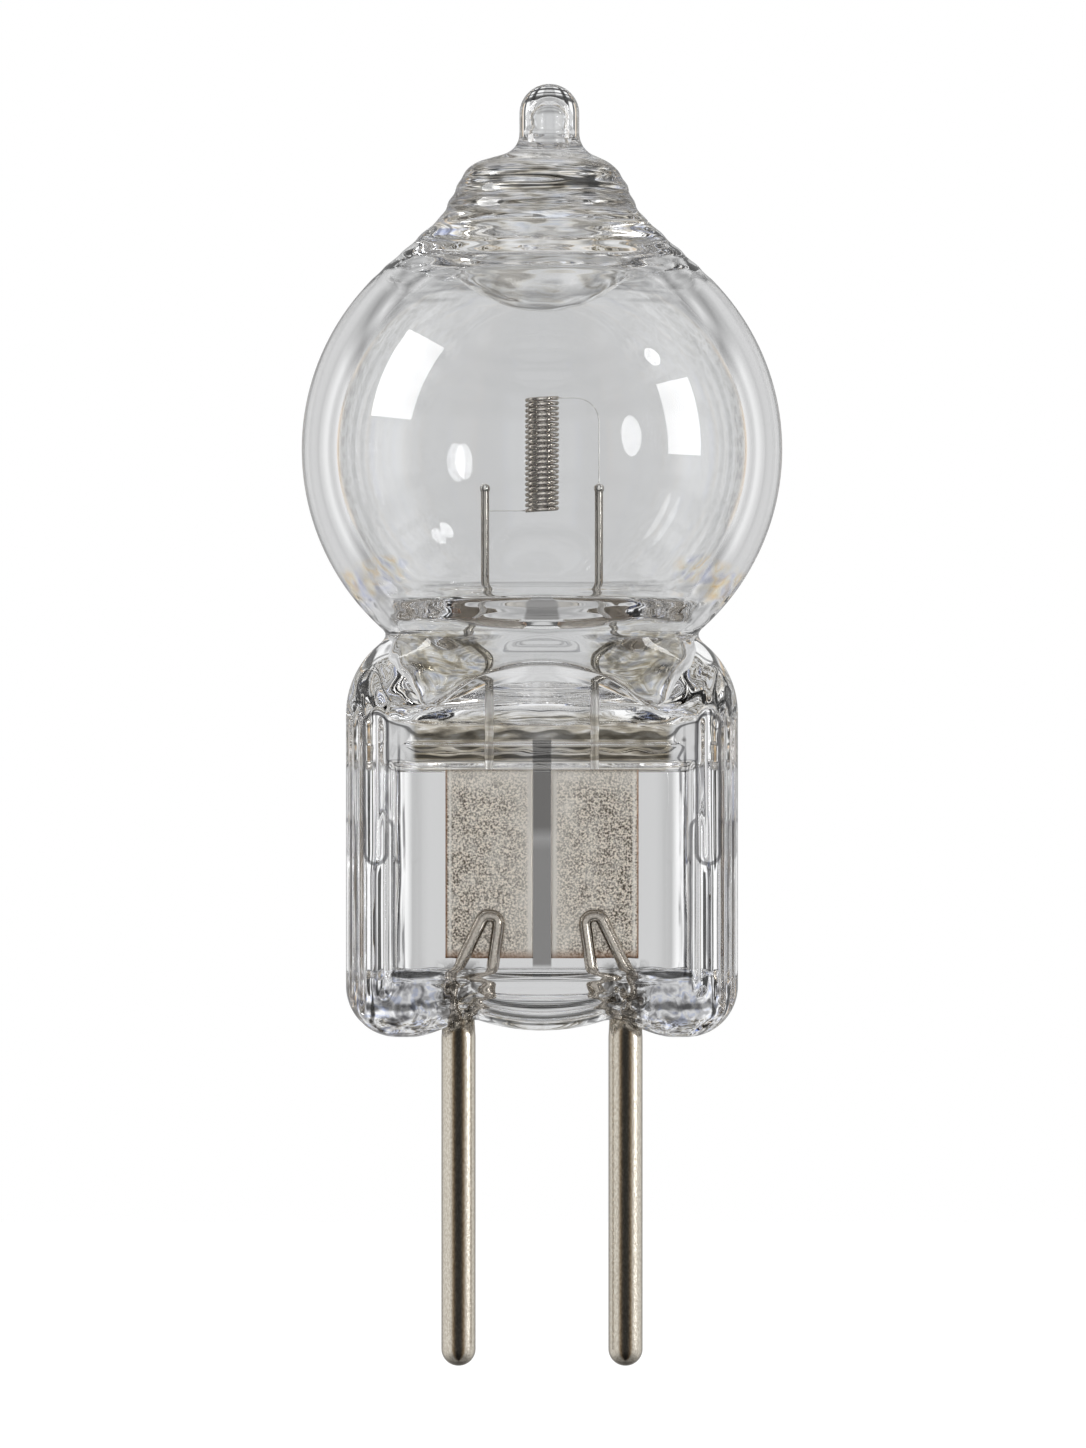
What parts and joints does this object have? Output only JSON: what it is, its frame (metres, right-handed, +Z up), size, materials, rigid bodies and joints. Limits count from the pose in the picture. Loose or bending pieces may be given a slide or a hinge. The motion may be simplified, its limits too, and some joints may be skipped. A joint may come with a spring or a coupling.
{
  "type": "halogen capsule bulb",
  "caption": "Clear quartz halogen capsule lamp with a round blown bulb, sealed tip, coiled filament, flat pinch seal and straight contact pins that push into a low-voltage holder.",
  "frame": {"origin": "midway between the contact pins, at the lowest point of the glass, where the lamp seats in its holder", "axes": "+Z up along the lamp's axis to the sealed tip, +X across the pins, -Y out of the front broad face of the pinch seal"},
  "size_m": [0.0182, 0.0182, 0.0487],
  "materials": {
    "quartz": "clear fused quartz, flame polished",
    "tungsten": "drawn tungsten, grey",
    "lead_wire": "drawn molybdenum, semi-bright",
    "foil": "etched molybdenum foil, matte",
    "hairpin_wire": "bright drawn wire under glass",
    "pin_metal": "nickel-plated, satin with fine drawing marks"
  },
  "bodies": {
    "root": {"quartz_envelope": "quartz", "filament_coil": "tungsten", "inner_lead_left": "lead_wire", "inner_lead_right": "lead_wire", "seal_foil_left": "foil", "seal_foil_right": "foil", "hairpin_left": "hairpin_wire", "hairpin_right": "hairpin_wire", "contact_pin_left": "pin_metal", "contact_pin_right": "pin_metal"}
  },
  "joints": []
}
